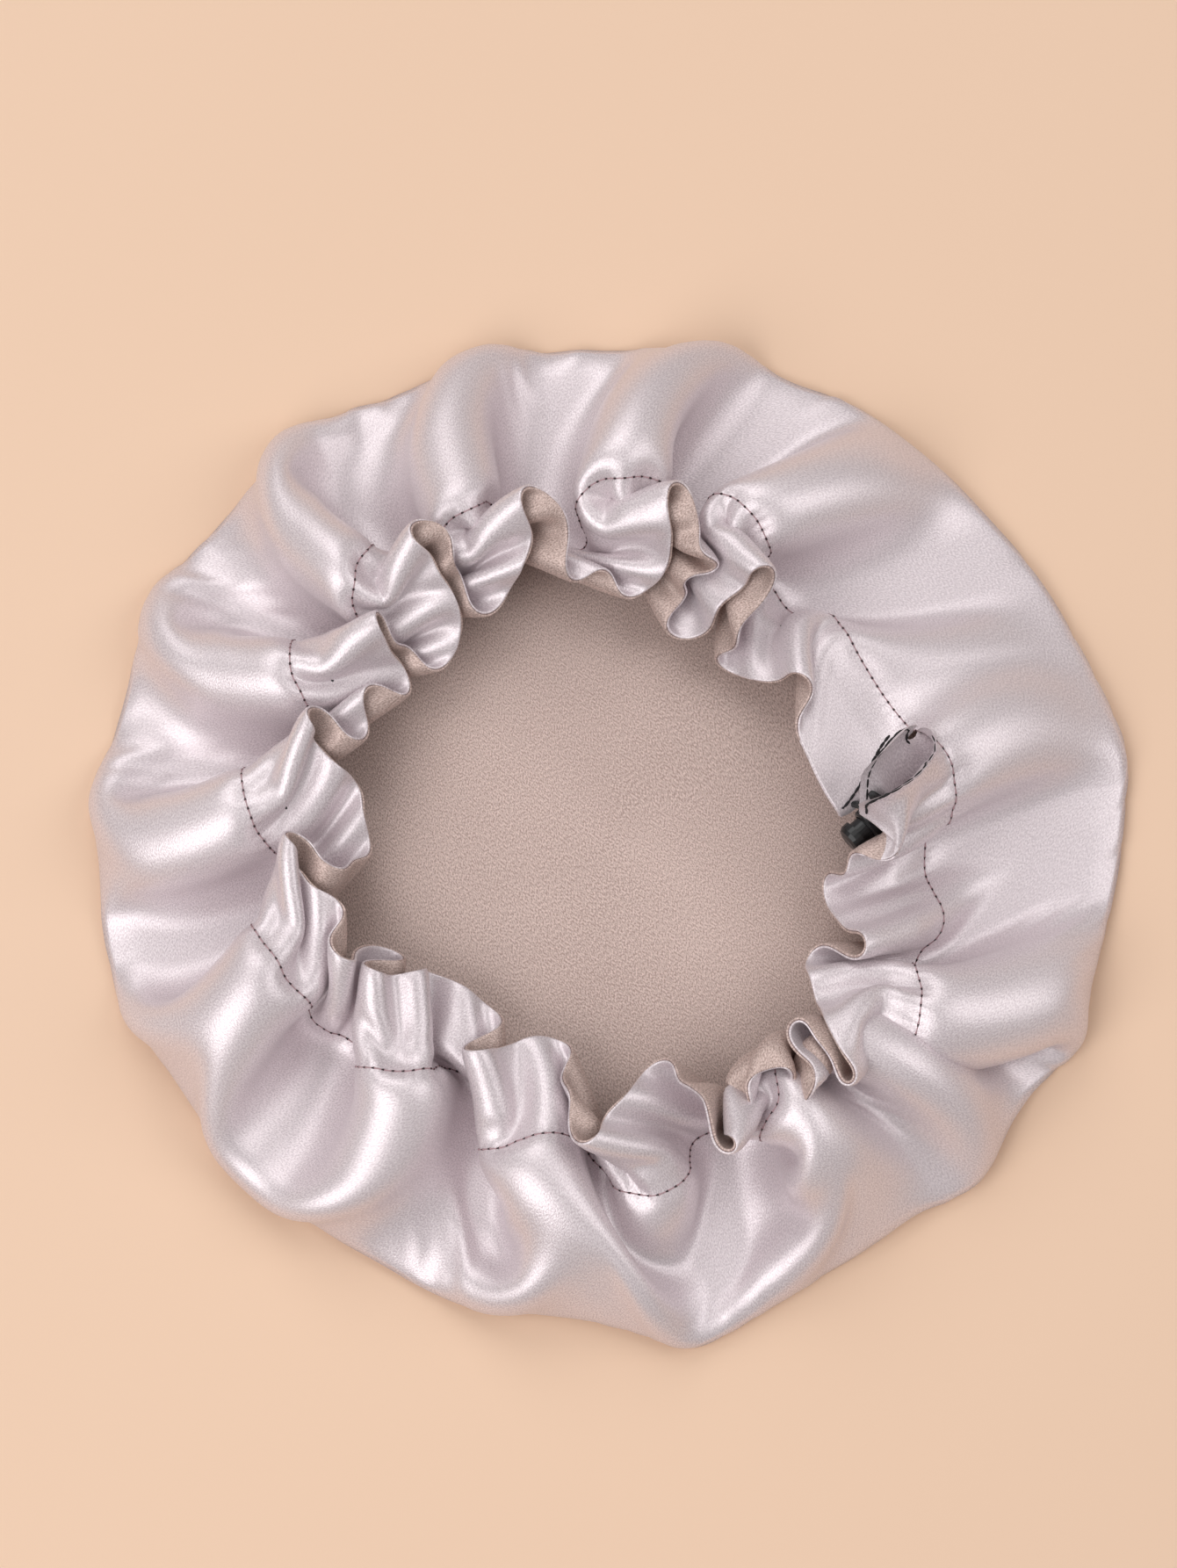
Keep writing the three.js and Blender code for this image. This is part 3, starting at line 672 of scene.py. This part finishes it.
def satin(name):
    # Woven grain as fine noise stretched along one thread, clouds of tone, and puckers as waves beside the
    # stitch row. The lining has a facing of the outer satin inside the two mouths.
    look = satinLook[name]
    material, nodes, links, surface = shader(name)
    place = nodes.new("ShaderNodeUVMap")
    place.uv_map = "cloth"
    turned = nodes.new("ShaderNodeMapping")
    turned.inputs["Rotation"].default_value = (0, 0, math.radians(38))
    turned.inputs["Scale"].default_value = (1.0, 0.55, 1.0)
    links.new(place.outputs["UV"], turned.inputs["Vector"])
    grain = nodes.new("ShaderNodeTexNoise")
    grain.inputs["Scale"].default_value = satinLook["grain"]
    grain.inputs["Detail"].default_value = 2.0
    links.new(turned.outputs["Vector"], grain.inputs["Vector"])
    cloud = nodes.new("ShaderNodeTexNoise")
    cloud.inputs["Scale"].default_value = satinLook["cloud"]
    cloud.inputs["Detail"].default_value = 3.0
    links.new(place.outputs["UV"], cloud.inputs["Vector"])
    grainTone = mathNode(nodes, links, "MULTIPLY", grain.outputs["Fac"], satinLook["grainTone"])
    cloudTone = mathNode(nodes, links, "MULTIPLY", cloud.outputs["Fac"], satinLook["cloudTone"])
    both = mathNode(nodes, links, "ADD", grainTone, cloudTone)
    weave = mathNode(nodes, links, "SUBTRACT", both, satinLook["toneShift"])
    split = nodes.new("ShaderNodeSeparateXYZ")
    links.new(place.outputs["UV"], split.inputs["Vector"])
    across = mathNode(nodes, links, "SUBTRACT", split.outputs["X"], 0.5)
    upward = mathNode(nodes, links, "SUBTRACT", split.outputs["Y"], 0.5)
    turn = mathNode(nodes, links, "ARCTAN2", upward, across)
    wave = mathNode(nodes, links, "SINE", mathNode(nodes, links, "MULTIPLY", turn, satinLook["puckers"]))
    square = mathNode(nodes, links, "ADD", mathNode(nodes, links, "MULTIPLY", across, across),
                      mathNode(nodes, links, "MULTIPLY", upward, upward))
    away = mathNode(nodes, links, "MULTIPLY", mathNode(nodes, links, "SQRT", square), uvSpan * 1000)
    colour = mixNode(nodes, links, weave, look["dark"], look["light"])
    if name == "champagne_satin":
        hem = satinLook["lilac_satin"]
        aside = mathNode(nodes, links, "MULTIPLY", mathNode(nodes, links, "ABSOLUTE", turn), away)
        near = mathNode(nodes, links, "LESS_THAN", aside, satinLook["facing"])
        inCasing = mathNode(nodes, links, "GREATER_THAN", away, cloth["stitch"])
        facing = mathNode(nodes, links, "MULTIPLY", near, inCasing)
        hemColour = mixNode(nodes, links, weave, hem["dark"], hem["light"])
        colour = mixNode(nodes, links, facing, colour, hemColour)
    links.new(colour, surface.inputs["Base Color"])
    off = mathNode(nodes, links, "DIVIDE", mathNode(nodes, links, "SUBTRACT", away, cloth["stitch"]),
                   satinLook["puckerWidth"])
    fall = mathNode(nodes, links, "MULTIPLY", mathNode(nodes, links, "MULTIPLY", off, off), -1.0)
    bell = mathNode(nodes, links, "POWER", math.e, fall)
    ripple = mathNode(nodes, links, "MULTIPLY", wave, bell)
    pucker = mathNode(nodes, links, "MULTIPLY", ripple, satinLook["puckerBump"])
    grainHeight = mathNode(nodes, links, "MULTIPLY", grain.outputs["Fac"], satinLook["grainBump"])
    bump = nodes.new("ShaderNodeBump")
    bump.inputs["Strength"].default_value = 0.35
    bump.inputs["Distance"].default_value = 0.0004
    links.new(mathNode(nodes, links, "ADD", grainHeight, pucker), bump.inputs["Height"])
    links.new(bump.outputs["Normal"], surface.inputs["Normal"])
    surface.inputs["Roughness"].default_value = look["roughness"]
    surface.inputs["Metallic"].default_value = look["metallic"]
    surface.inputs["Anisotropic"].default_value = look["anisotropic"]
    surface.inputs["Sheen Weight"].default_value = look["sheen"]
    return material


sheets = {
    "crownRows": 6,
    "gap": 0.32,
    "stitchGap": 0.10,
    "cordGap": 1.45,
    "midGap": 1.0,
    "rimGap": 0.85,
    "bead": 0.40,
    "beadRows": 4,
    "upperOpen": 2.5,
    "lowerOpen": 5.2,
    "openRun": 15.0,
    "swell": 0.8,
    "swellTo": 128.0,
}


def layerGap(rows, columns):
    # Half the distance between the two cloths: even, pinched at the stitch row, round over the cord and
    # open at the mouths.
    p = sheets
    cordAt = cloth["stitch"] + cloth["cordLine"] * (cloth["rim"] - cloth["stitch"])
    knots = [0, cloth["stitch"] - 8, cloth["stitch"], cloth["stitch"] + 5, cordAt, cordAt + 9, cloth["rim"]]
    gaps = [p["gap"], p["gap"], p["stitchGap"], p["midGap"], p["cordGap"], p["midGap"], p["rimGap"]]
    across = np.clip((rows - cloth["stitch"]) / (cloth["rim"] - cloth["stitch"]), 0, 1)
    fromStart, fromEnd = fromMouths(columns)
    upper = p["upperOpen"] * nearness(fromStart, p["openRun"])
    lower = p["lowerOpen"] * nearness(fromEnd, p["openRun"])
    return np.interp(rows, knots, gaps)[:, None] + np.sin(np.pi * across)[:, None] * (upper + lower)


def liningSwell(points):
    # Low, uneven waves on the crown, from three sines across each other, gone at its edge and off the floor.
    x, y = points[..., 0], points[..., 1]
    swell = np.sin(x / 21 + 1.3 * np.sin(y / 37)) * np.cos(y / 26 + x / 60)
    swell += 0.5 * np.sin((x + 1.7 * y) / 17)
    fade = np.clip((sheets["swellTo"] - np.hypot(x, y)) / 40, 0, 1)
    flat = np.clip((6 - points[..., 2]) / 3, 0, 1)
    return sheets["swell"] * (swell + 1.2) * fade * flat


def clothSheet(name, side, material):
    # Crown rings, the settled surface moved along its normal, and a rolled bead at the rim.
    p = sheets
    gap = layerGap(settledRows, columnCount)[..., None]
    moved = settledGrid + side * gap * settledNormals
    inner = np.linspace(0, cloth["flatTo"], p["crownRows"] + 2)[1:-1]
    crown = np.zeros((len(inner), columnCount, 3))
    share = inner[:, None, None] / cloth["flatTo"]
    crown[..., :2] = outline["middle"] + share * (settledGrid[0, :, :2] - outline["middle"])
    crown[..., 2] = cloth["lift"] - side * p["gap"]
    angle = np.linspace(0, 2.6, p["beadRows"] + 1)[1:, None, None]
    tip = settledGrid[-1] - settledGrid[-2]
    tip /= np.linalg.norm(tip, axis=-1, keepdims=True)
    normal = side * settledNormals[-1]
    middle = settledGrid[-1] + (p["rimGap"] - p["bead"]) * normal
    bead = middle + p["bead"] * (np.sin(angle) * 1.5 * tip + np.cos(angle) * normal)
    points = np.concatenate((crown, moved, bead), axis=0)
    if side < 0:
        points[..., 2] += liningSwell(points)
    count = len(points)
    rowsAway = np.concatenate((inner, settledRows, np.full(p["beadRows"], cloth["rim"] + 0.5)))
    cells = gridFaces(count, columnCount, True)
    whole = np.ones(cells.shape[:2], bool)
    whole[len(inner) + seamRow:, -1] = False
    faces = cells[whole]
    flatPlace = rowsAway[:, None, None] * np.stack((np.cos(columnTurn), np.sin(columnTurn)), axis=-1)
    uv = flatPlace.reshape(-1, 2) * toMetres / uvSpan + 0.5
    centre = len(points.reshape(-1, 3))
    allPoints = np.vstack((points.reshape(-1, 3), (*outline["middle"], points[0, :, 2].mean())))
    fan = np.arange(columnCount)
    middleFaces = np.stack((np.full(columnCount, centre), np.roll(fan, -1), fan), axis=-1)
    faceList = faces.tolist() + middleFaces.tolist()
    if side < 0:
        faceList = [face[::-1] for face in faceList]
    return meshPiece(name, allPoints, faceList, np.vstack((uv, (0.5, 0.5))), material)


outer = clothSheet("outerCloth", 1, satin("lilac_satin"))
lining = clothSheet("liningCloth", -1, satin("champagne_satin"))
sheetNodes = ((outer, "outer_satin_shell", "lilac_satin"), (lining, "satin_lining", "champagne_satin"))
for piece, node, slot in sheetNodes:
    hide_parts(node)
    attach(piece, "bonnet")
print("sheets made")


def threadMaterial(name, colour, dark, repeats):
    # Twisted thread: bands across it, and painted shade at each stitch: a dark band on the thread where it
    # goes into the cloth at the needle hole.
    material, nodes, links, surface = shader(name)
    place = nodes.new("ShaderNodeUVMap")
    place.uv_map = "cloth"
    split = nodes.new("ShaderNodeSeparateXYZ")
    links.new(place.outputs["UV"], split.inputs["Vector"])
    run = mathNode(nodes, links, "MULTIPLY", split.outputs["X"], float(repeats))
    part = mathNode(nodes, links, "FRACT", run)
    fromHole = mathNode(nodes, links, "ABSOLUTE", mathNode(nodes, links, "SUBTRACT", part, 0.5))
    # Painted shade: the band round each needle hole takes the darker colour, standing in for the shade where
    # the thread sinks into the cloth.
    holeShade = mathNode(nodes, links, "LESS_THAN", fromHole, 0.14)
    links.new(mixNode(nodes, links, holeShade, colour, dark), surface.inputs["Base Color"])
    twist = nodes.new("ShaderNodeTexWave")
    twist.inputs["Scale"].default_value = repeats * 2.0
    twist.inputs["Distortion"].default_value = 1.0
    links.new(place.outputs["UV"], twist.inputs["Vector"])
    bump = nodes.new("ShaderNodeBump")
    bump.inputs["Strength"].default_value = 0.4
    bump.inputs["Distance"].default_value = 0.0002
    links.new(twist.outputs["Fac"], bump.inputs["Height"])
    links.new(bump.outputs["Normal"], surface.inputs["Normal"])
    surface.inputs["Roughness"].default_value = 0.7
    return material


def threadPiece(name, path, radius, sides, closed, material, node):
    points, faces = tube(path, radius, sides, closed)
    share = np.repeat(np.linspace(0, 1, len(path)), sides)
    about = np.tile(np.arange(sides) / sides, len(path))
    piece = meshPiece(name, points, faces.tolist(), np.column_stack((share, about)), material)
    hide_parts(node)
    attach(piece, "bonnet")
    return piece


threads = {
    "stitches": 430,
    "perStitch": 6,
    "thin": 0.17,
    "thick": 0.36,
    "rimRadius": 0.22,
    "hemInset": 3,
    "hemFrom": 4,
    "hemRadius": 0.42,
    "hemStitches": 11,
}


def stitchRow():
    # A thin thread along the stitch row on the outer cloth, swelling at each needle hole.
    p = threads
    count = p["stitches"] * p["perStitch"]
    gap = layerGap(settledRows, columnCount)[seamRow][:, None]
    path = along(settledGrid[seamRow] + (gap + 0.1) * settledNormals[seamRow], count, True)
    part = (np.arange(count) / p["perStitch"]) % 1
    radius = p["thin"] + (p["thick"] - p["thin"]) * np.exp(-((part - 0.5) / 0.16) ** 2)
    # The second colour is painted shade for the needle holes.
    material = threadMaterial("sewing_thread", (0.42, 0.27, 0.29), (0.030, 0.010, 0.014), p["stitches"])
    return threadPiece("stitchRow", path, radius, 6, True, material, "casing_stitch_row")


def rimSeam():
    # The seam's thread in the groove between the two rim beads.
    tip = settledGrid[-1] - settledGrid[-2]
    tip /= np.linalg.norm(tip, axis=-1, keepdims=True)
    path = along(settledGrid[-1] + 0.12 * tip, 1400, False)
    # The second colour is painted shade for the needle holes.
    material = threadMaterial("rim_thread", (0.30, 0.20, 0.19), (0.16, 0.09, 0.09), 480)
    radius = threads["rimRadius"]
    return threadPiece("rimSeam", path, radius, 5, False, material, "rim_seam_thread")


def hemRow(name, column, node):
    # Black stitches round a mouth: up the outer cloth from near the stitch row to the rim, and back down the
    # lining.
    p = threads
    used = slice(seamRow + p["hemFrom"], -1)
    gap = layerGap(settledRows, columnCount)[used, column][:, None] + 0.22
    line = settledGrid[used, column]
    normal = settledNormals[used, column]
    up = line + gap * normal
    down = (line - gap * normal)[::-1]
    path = along(np.vstack((up, down)), p["hemStitches"] * 16, False)
    part = (np.arange(len(path)) / 8) % 1
    radius = p["hemRadius"] * (0.45 + 0.55 * np.sqrt(np.abs(np.sin(np.pi * part))))
    # The second colour is painted shade for the needle holes.
    material = threadMaterial(name, (0.012, 0.010, 0.012), (0.006, 0.005, 0.006), p["hemStitches"] * 2)
    return threadPiece(name, path, radius, 8, False, material, node)


stitchPiece = stitchRow()
rimSeam()
hemRow("upperHem", threads["hemInset"], "upper_mouth_hem_stitch")
hemRow("lowerHem", columnCount - 1 - threads["hemInset"], "lower_mouth_hem_stitch")
print("threads made")

cordShape = {
    "radius": 1.2,
    "insideRadius": 0.85,
    "knotRadius": 1.14,
    "sides": 10,
    "rings": 2400,
    "freeRings": 90,
    "braid": 260,
    "exitShift": 0.48,
    "exitRun": 26.0,
    "exitLength": 3.0,
}


def elasticMaterial():
    # Braid: two crossing sets of slanted ribs round the cord, with painted shade: darker in the grooves
    # between the ribs and lighter on their tops.
    material, nodes, links, surface = shader("black_elastic")
    place = nodes.new("ShaderNodeUVMap")
    place.uv_map = "cloth"
    split = nodes.new("ShaderNodeSeparateXYZ")
    links.new(place.outputs["UV"], split.inputs["Vector"])
    run = mathNode(nodes, links, "MULTIPLY", split.outputs["X"], cordShape["braid"] * 6.283)
    about = mathNode(nodes, links, "MULTIPLY", split.outputs["Y"], 4 * 6.283)
    left = mathNode(nodes, links, "SINE", mathNode(nodes, links, "ADD", run, about))
    right = mathNode(nodes, links, "SINE", mathNode(nodes, links, "SUBTRACT", run, about))
    ribs = mathNode(nodes, links, "MAXIMUM", left, right)
    bump = nodes.new("ShaderNodeBump")
    bump.inputs["Strength"].default_value = 0.7
    bump.inputs["Distance"].default_value = 0.0003
    links.new(ribs, bump.inputs["Height"])
    links.new(bump.outputs["Normal"], surface.inputs["Normal"])
    # Painted shade: the colour follows the rib height, darker in the grooves.
    grooveShade = nodes.new("ShaderNodeValToRGB")
    grooveShade.color_ramp.elements[0].color = (0.006, 0.006, 0.007, 1)
    grooveShade.color_ramp.elements[1].color = (0.022, 0.020, 0.022, 1)
    links.new(ribs, grooveShade.inputs["Fac"])
    links.new(grooveShade.outputs["Color"], surface.inputs["Base Color"])
    surface.inputs["Roughness"].default_value = 0.62
    surface.inputs["Sheen Weight"].default_value = 0.15
    return material


def strandPoint(side, height):
    turn = math.radians(lock["turn"])
    aside = np.array((-math.sin(turn), math.cos(turn))) * side * lock["strandAside"]
    return np.array((*(np.array(lock["origin"][:2]) + aside), height))


def drawcord():
    # Up one strand from the knot, into one mouth, round the casing on its cord line and down the other
    # strand.
    p = cordShape
    fromStart, fromEnd = fromMouths(columnCount)
    beside = nearness(fromStart, p["exitRun"]) + nearness(fromEnd, p["exitRun"])
    line = cloth["cordLine"] + p["exitShift"] * beside
    place = seamRow + line * (len(settledRows) - 1 - seamRow)
    row = place.astype(int)
    part = (place - row)[:, None]
    column = np.arange(columnCount)
    inside = settledGrid[row, column] * (1 - part) + settledGrid[row + 1, column] * part
    inside = inside[4:-4:4]
    first, last = inside[0], inside[-1]
    upper = min((1, -1), key=lambda side: np.linalg.norm(strandPoint(side, 0)[:2] - first[:2]))
    heights = (lock["strandEnd"], 0.5 * (lock["strandEnd"] + lock["strandTop"]), lock["strandTop"])
    rise = [strandPoint(upper, height) for height in heights]
    fall = [strandPoint(-upper, height) for height in heights[::-1]]
    enter = first + p["exitLength"] * (first - inside[2]) / np.linalg.norm(first - inside[2])
    leave = last + p["exitLength"] * (last - inside[-3]) / np.linalg.norm(last - inside[-3])
    path = np.vstack((curveThrough(rise + [enter, first], 60)[:-1], inside,
                      curveThrough([last, leave] + fall, 60)[1:]))
    path = along(path, p["rings"], False)
    number = np.arange(p["rings"])
    fromTip = np.minimum(number, p["rings"] - 1 - number) / p["freeRings"]
    radius = p["insideRadius"] + (p["radius"] - p["insideRadius"]) * np.clip(1.4 - fromTip, 0, 1)
    sides = p["sides"]
    return threadPiece("drawcord", path, radius, sides, False, elastic, "elastic_drawcord")


def cordKnot():
    # A trefoil of the cord's two ends: it turns twice round the middle and three times through it.
    t = np.linspace(0, 2 * np.pi, 181)[:-1]
    reach = 3.4 + 1.5 * np.cos(3 * t)
    turn = 2 * t
    path = np.column_stack((reach * np.cos(turn), reach * np.sin(turn), 1.9 * np.sin(3 * t)))
    path += (lock["origin"][0], lock["origin"][1], lock["knotHeight"])
    radius = cordShape["knotRadius"]
    return threadPiece("cordKnot", path, radius, 12, True, elastic, "drawcord_knot")


elastic = elasticMaterial()
drawcord()
cordKnot()
print("cord made")

lockLook = {
    "cord_lock_barrel": {"slot": "black_plastic", "colour": (0.008, 0.008, 0.009), "roughness": 0.28},
    "cord_lock_plunger": {"slot": "black_plastic", "colour": (0.011, 0.011, 0.012), "roughness": 0.34},
    "cord_lock_spring": {"slot": "spring_steel", "colour": (0.48, 0.50, 0.52), "roughness": 0.26},
}


def lockMaterial(name, look):
    # Moulded plastic or drawn wire: fine grain in the height and slow patches in the roughness.
    material, nodes, links, surface = shader(name)
    place = nodes.new("ShaderNodeTexCoord")
    grain = nodes.new("ShaderNodeTexNoise")
    grain.inputs["Scale"].default_value = 2600.0
    grain.inputs["Detail"].default_value = 3.0
    links.new(place.outputs["Object"], grain.inputs["Vector"])
    patch = nodes.new("ShaderNodeTexNoise")
    patch.inputs["Scale"].default_value = 160.0
    links.new(place.outputs["Object"], patch.inputs["Vector"])
    spread = nodes.new("ShaderNodeMapRange")
    spread.inputs["To Min"].default_value = look["roughness"] - 0.06
    spread.inputs["To Max"].default_value = look["roughness"] + 0.10
    links.new(patch.outputs["Fac"], spread.inputs["Value"])
    links.new(spread.outputs["Result"], surface.inputs["Roughness"])
    bump = nodes.new("ShaderNodeBump")
    bump.inputs["Strength"].default_value = 0.15
    bump.inputs["Distance"].default_value = 0.0001
    links.new(grain.outputs["Fac"], bump.inputs["Height"])
    links.new(bump.outputs["Normal"], surface.inputs["Normal"])
    surface.inputs["Base Color"].default_value = (*look["colour"], 1)
    surface.inputs["Metallic"].default_value = 1.0 if look["slot"] == "spring_steel" else 0.0
    return material


for name, look in lockLook.items():
    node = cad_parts[name]
    node.data.materials.clear()
    node.data.materials.append(lockMaterial(name + "_look", look))
    node.data.polygons.foreach_set("use_smooth", np.ones(len(node.data.polygons), bool))
    node.data.set_sharp_from_angle(angle=math.radians(35))
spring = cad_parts["cord_lock_spring"]
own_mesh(spring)
print("lock finished")

studio = {
    "floorColour": (0.785, 0.557, 0.407),
    "aim": (-0.0026, 0.0155, 0.018),
    "elevation": 80.0,
    "distance": 1.3,
    "lens": 100.0,
    "world": 0.35,
    "lights": [((-0.80, -0.60, 1.15), 1.3, 12.6), ((-0.35, 0.95, 1.1), 1.2, 7.2),
               ((0.95, 0.1, 1.05), 1.1, 5.1)],
}


def floorPiece():
    # One wide square at the object's foot, with slow clouds of tone.
    material, nodes, links, surface = shader("floor")
    place = nodes.new("ShaderNodeTexCoord")
    cloud = nodes.new("ShaderNodeTexNoise")
    cloud.inputs["Scale"].default_value = 2.0
    links.new(place.outputs["Object"], cloud.inputs["Vector"])
    darker = tuple(0.97 * value for value in studio["floorColour"])
    lighter = tuple(1.03 * value for value in studio["floorColour"])
    colour = mixNode(nodes, links, cloud.outputs["Fac"], darker, lighter)
    links.new(colour, surface.inputs["Base Color"])
    surface.inputs["Roughness"].default_value = 0.85
    mesh = bpy.data.meshes.new("floor")
    mesh.from_pydata([(-4, -4, 0), (4, -4, 0), (4, 4, 0), (-4, 4, 0)], [], [(0, 1, 2, 3)])
    mesh.materials.append(material)
    piece = bpy.data.objects.new("floor", mesh)
    bpy.context.scene.collection.objects.link(piece)


def aimed(thing, place, goal):
    thing.location = place
    thing.rotation_euler = (Vector(goal) - Vector(place)).to_track_quat("-Z", "Y").to_euler()
    bpy.context.scene.collection.objects.link(thing)


floorPiece()
for number, (place, size, power) in enumerate(studio["lights"]):
    light = bpy.data.lights.new("soft" + str(number), "AREA")
    light.shape = "DISK"
    light.size = size
    light.energy = power
    aimed(bpy.data.objects.new("soft" + str(number), light), place, (0, 0, 0))
world = bpy.data.worlds.new("studio")
world.use_nodes = True
world.node_tree.nodes["Background"].inputs["Color"].default_value = (1.0, 0.97, 0.95, 1)
world.node_tree.nodes["Background"].inputs["Strength"].default_value = studio["world"]
bpy.context.scene.world = world
camera = bpy.data.cameras.new("camera")
camera.lens = studio["lens"]
tilt = math.radians(studio["elevation"])
aim = Vector(studio["aim"])
place = aim + studio["distance"] * Vector((0, -math.cos(tilt), math.sin(tilt)))
eye = bpy.data.objects.new("camera", camera)
aimed(eye, place, aim)
bpy.context.scene.camera = eye
bpy.context.scene.view_settings.view_transform = "Standard"
print("studio made")
